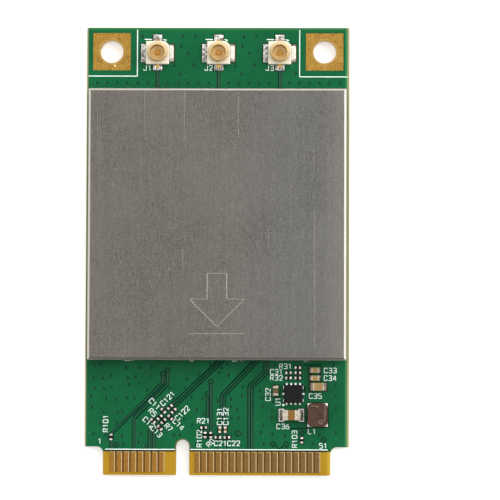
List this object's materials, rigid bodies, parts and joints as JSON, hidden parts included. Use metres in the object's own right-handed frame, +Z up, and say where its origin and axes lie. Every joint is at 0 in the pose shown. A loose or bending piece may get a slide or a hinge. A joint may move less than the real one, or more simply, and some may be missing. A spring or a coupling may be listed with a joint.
{
  "type": "mini card radio module",
  "caption": "Full-length mini card radio module: green circuit board with a keyed edge connector, a folded metal shield, antenna receptacles and a small power section.",
  "frame": {"origin": "middle of the card's outline, on the flat underside of the board", "axes": "+X across the card, +Y from the connector tab to the antenna receptacles, +Z up from the board to the shield"},
  "size_m": [0.0298, 0.0508, 0.0032],
  "materials": {
    "board": "green solder mask over glass-fibre laminate",
    "gold_plating": "thin gold plating, scuffed",
    "cover_sheet": "rolled sheet with a fine grain",
    "frame_sheet": "bright tinned sheet",
    "connector_moulding": "natural moulded polymer",
    "connector_gold": "gold plating",
    "chip_moulding": "matt black moulding compound",
    "tinned_metal": "tinned and wetted with solder",
    "tan_ceramic": "fired ceramic",
    "orange_ceramic": "fired ceramic",
    "resistor_glaze": "black glaze",
    "ferrite": "ground ferrite",
    "winding_wire": "enamelled copper",
    "thermal_rubber": "soft filled pad",
    "filter_ceramic": "fired ceramic",
    "crystal_can": "seam-welded metal lid"
  },
  "bodies": {
    "root": {"band_filter_1": "filter_ceramic", "band_filter_2": "filter_ceramic", "band_filter_3": "filter_ceramic", "bypass_capacitor_body": "tan_ceramic", "bypass_capacitor_caps": "tinned_metal", "circuit_board": "board", "coax_insulator_1": "connector_moulding", "coax_insulator_2": "connector_moulding", "coax_insulator_3": "connector_moulding", "coax_pin_1": "connector_gold", "coax_pin_2": "connector_gold", "coax_pin_3": "connector_gold", "coax_shell_1": "connector_gold", "coax_shell_2": "connector_gold", "coax_shell_3": "connector_gold", "edge_contacts_bottom": "gold_plating", "edge_contacts_top": "gold_plating", "filter_capacitor_1_body": "tan_ceramic", "filter_capacitor_1_caps": "tinned_metal", "filter_capacitor_2_body": "tan_ceramic", "filter_capacitor_2_caps": "tinned_metal", "front_end_module_1": "chip_moulding", "front_end_module_2": "chip_moulding", "front_end_module_3": "chip_moulding", "input_capacitor_body": "tan_ceramic", "input_capacitor_caps": "tinned_metal", "mounting_land_left": "gold_plating", "mounting_land_right": "gold_plating", "output_capacitor_body": "orange_ceramic", "output_capacitor_caps": "tinned_metal", "power_inductor_core": "ferrite", "power_inductor_terminals": "tinned_metal", "power_inductor_winding": "winding_wire", "radio_chip": "chip_moulding", "reference_crystal": "crystal_can", "regulator_chip": "chip_moulding", "regulator_terminals": "tinned_metal", "settings_memory": "chip_moulding", "shield_cover": "cover_sheet", "shield_frame": "frame_sheet", "shielded_capacitor_bodies": "tan_ceramic", "shielded_capacitor_caps": "tinned_metal", "signal_capacitor_bodies": "tan_ceramic", "signal_capacitor_caps": "tinned_metal", "signal_resistor_bodies": "resistor_glaze", "signal_resistor_caps": "tinned_metal", "thermal_pad": "thermal_rubber"}
  },
  "joints": []
}
